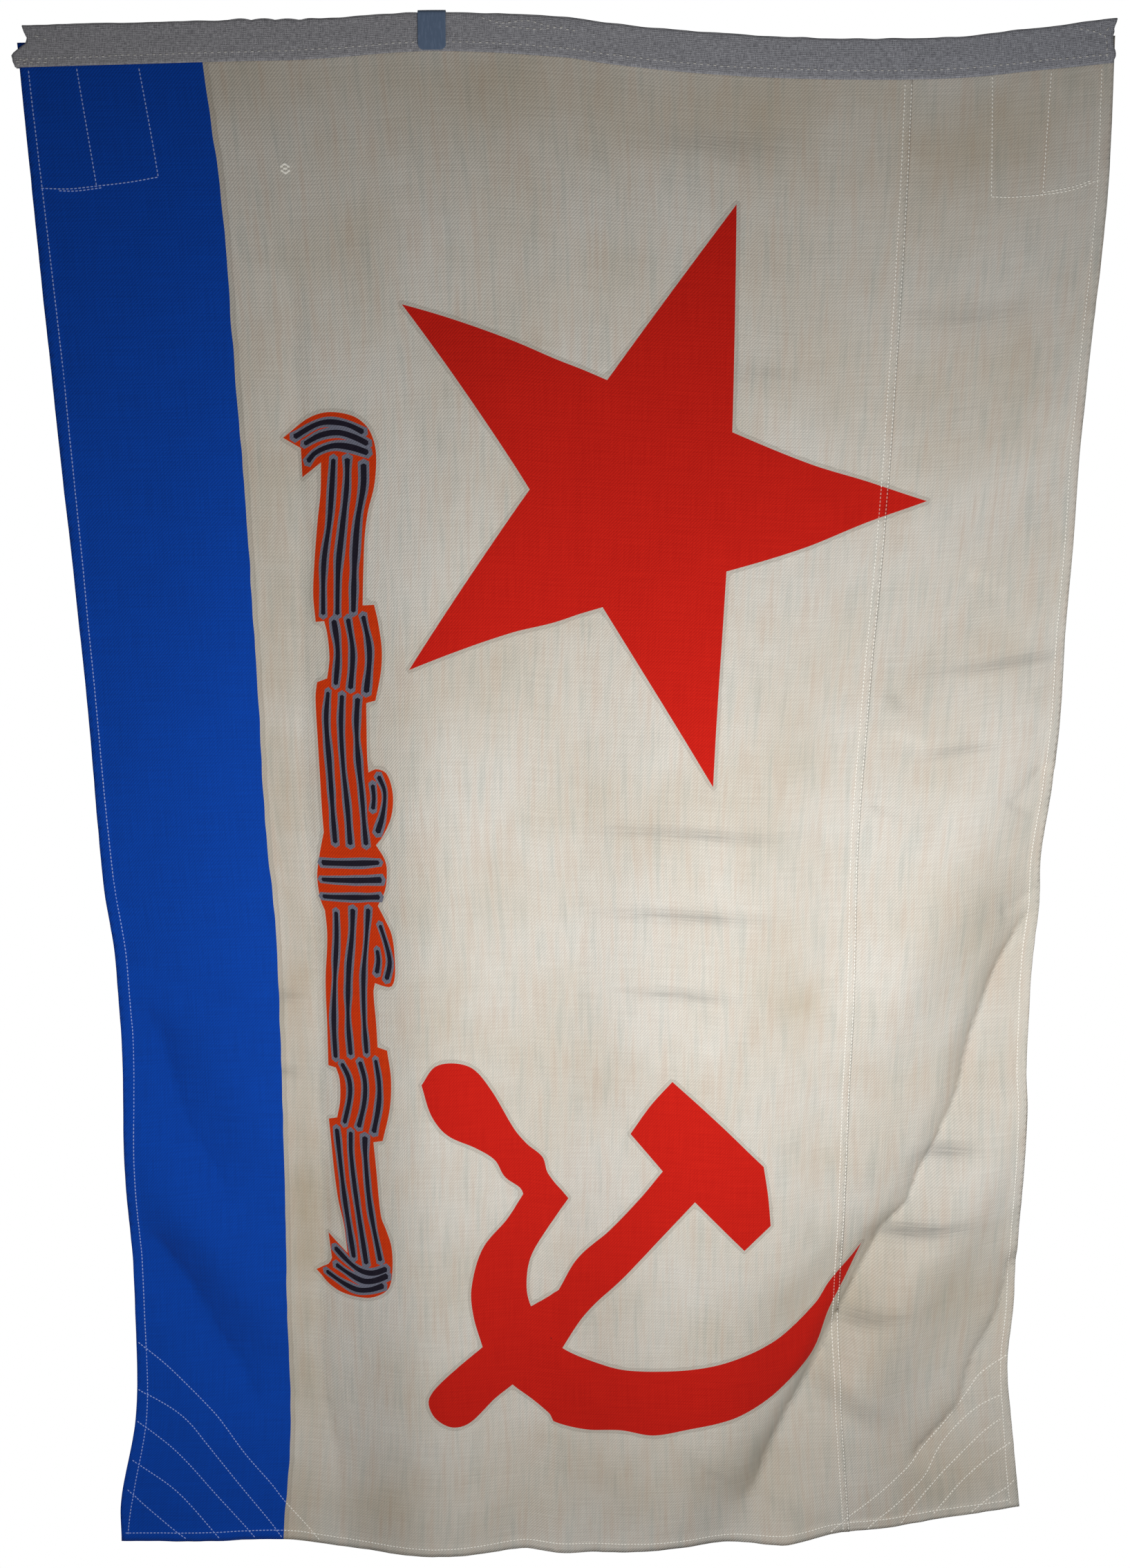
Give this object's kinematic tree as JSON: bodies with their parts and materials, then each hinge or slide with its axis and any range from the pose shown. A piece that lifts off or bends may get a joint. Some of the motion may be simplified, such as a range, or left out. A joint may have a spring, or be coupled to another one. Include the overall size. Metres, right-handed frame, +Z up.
{
  "type": "hung worn flag with a hanging clip",
  "caption": "Worn wool naval flag hung by its canvas heading, dyed blue stripe and printed emblems, sewn side cloth, corner patches and a plastic clip on the heading.",
  "frame": {"origin": "middle of the heading's top edge, where the flag is held up", "axes": "+Z up, -Y out of the front of the cloth, +X to the right of someone who faces the front"},
  "size_m": [0.9931, 0.0462, 1.5039],
  "materials": {
    "bunting": "matte twill, greyed and creased",
    "blue_bunting": "matte twill, dyed blue",
    "heading_canvas": "plain woven, mottled grey",
    "clip_plastic": "smooth, slightly scuffed"
  },
  "bodies": {
    "root": {"main_cloth": "bunting", "side_cloth": "bunting", "heading": "heading_canvas", "clip": "clip_plastic", "patch_upper_left": "blue_bunting", "patch_upper_right": "bunting", "patch_lower_left": "blue_bunting", "patch_lower_right": "bunting"}
  },
  "joints": []
}
